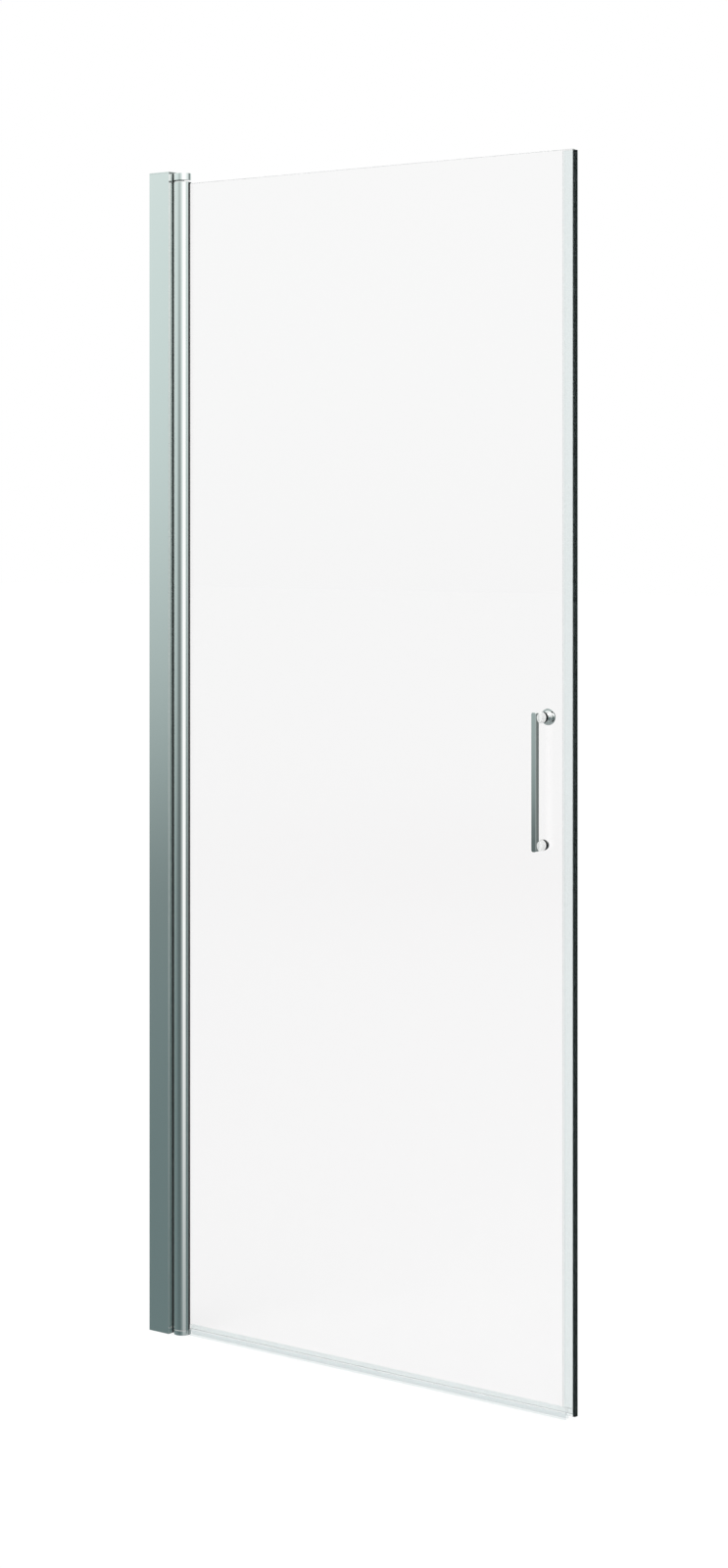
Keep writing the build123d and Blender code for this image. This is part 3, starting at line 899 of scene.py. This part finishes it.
drip_seal = piece(
    "drip_seal_extrusion",
    [carried([drip], drip_left, drip_right, axis=0, edge=0.1 * mm)],
    "door",
    ["drip_seal"],
    clear_seal,
)
drip_seal.visible_shadow = False

# Handle fixings through the glass
# At each fixing a white nylon sleeve lines the hole, a dark soft washer lies on each face of the glass,
# and a steel stud runs through them all.
fixings = [(handle_x, 0, low_hole), (handle_x, 0, high_hole)]
stud_hole, sleeve_radius, post_radius, inner_washer = 2.55 * mm, 5.95 * mm, 9 * mm, 8.5 * mm
washer_near, washer_far = 3.05 * mm, 4.55 * mm


def tube_outline(inner, outer, start, end, edge):
    """The section of a ring: from its bore to its outside, between two distances along, with four rounded
    corners."""
    return rounded([(inner, start), (outer, start), (outer, end), (inner, end)], edge, 4)


sleeve = tube_outline(stud_hole, sleeve_radius, -glass_half, glass_half, 0.2 * mm)
front_washer = tube_outline(stud_hole, post_radius, -washer_far, -washer_near, 0.3 * mm)
back_washer = tube_outline(stud_hole, inner_washer, washer_near, washer_far, 0.3 * mm)
for name, node, slot, material, outline in (
    ("handle_sleeves", "handle_hole_sleeves", "white_plastic", white_plastic, sleeve),
    ("handle_front_washers", "handle_outer_washers", "dark_seal", dark_seal, front_washer),
    ("handle_back_washers", "handle_inner_washers", "dark_seal", dark_seal, back_washer),
):
    piece(name, [turned(outline, centre) for centre in fixings], "door", [node], material)
repaint("handle_studs", screw_steel)

# Handle posts and bar
# Two milky nylon posts hold a chromed bar off the glass, nearly square in section. Its ends are rounded
# as seen from the front, and its edges softened before plating.
bar_back, bar_front = -18 * mm, -26.5 * mm
standoff = tube_outline(stud_hole, post_radius, bar_back, -washer_far, 0.5 * mm)
piece(
    "handle_standoffs",
    [turned(standoff, centre) for centre in fixings],
    "door",
    ["handle_posts"],
    white_plastic,
)
bar_bottom, bar_top, bar_half, bar_corner, bar_round = 883.5 * mm, 1101.5 * mm, 4.5 * mm, 3 * mm, 0.5 * mm
bar_face = box_outline(bar_bottom, bar_top, handle_x - bar_half, handle_x + bar_half, bar_corner, 12)
piece(
    "handle_pull_bar",
    [carried([bar_face], bar_front, bar_back, axis=1, edge=bar_round, steps=4)],
    "door",
    ["handle_bar"],
    chrome,
)

# Inside knob and cap
# On the inside the upper stud ends in a turned knob: a neck that flares into a round rim with a domed
# back. The lower one ends in a low cap nut. Both are chromed.
knob_base, neck, neck_end, flare = 4.55 * mm, 7 * mm, 15.25 * mm, 3 * mm
rim_radius, rim_end, crown = 13.25 * mm, 17.25 * mm, 24.25 * mm
ball = (rim_radius**2 + (crown - rim_end) ** 2) / (2 * (crown - rim_end))
dome = np.linspace(0, math.asin(rim_radius / ball), 16)
dome_outline = np.stack([ball * np.sin(dome), crown - ball + ball * np.cos(dome)], -1)
bend = np.linspace(math.pi / 2, math.pi, 9)
flare_end = neck + flare
flare_outline = np.stack([flare_end + flare * np.cos(bend), neck_end - flare + flare * np.sin(bend)], -1)
knob_rim = rounded(
    [(flare_end, rim_end - 1 * mm), (rim_radius, rim_end), (rim_radius, neck_end), (flare_end, neck_end)],
    [0.01 * mm, 0.3 * mm, 0.4 * mm, 0.01 * mm],
    4,
).reshape(4, 5, 2)[1:3]
knob_foot = [(neck, knob_base + 0.2 * mm), (neck - 0.2 * mm, knob_base), (0, knob_base)]
knob = np.concatenate([dome_outline[:-1], knob_rim.reshape(-1, 2), flare_outline, knob_foot])
piece(
    "inside_knob",
    [turned(knob, fixings[1], steps=96)],
    "door",
    ["inner_knob"],
    chrome,
)
cap_end, cap_radius = 8.05 * mm, 8 * mm
cap_nut = softened(
    [(0, cap_end), (cap_radius, cap_end), (cap_radius, knob_base), (0, knob_base)],
    [0, 1.0 * mm, 0.2 * mm, 0],
)
piece(
    "inside_cap_nut",
    [turned(cap_nut, fixings[0])],
    "door",
    ["inner_cap"],
    chrome,
)
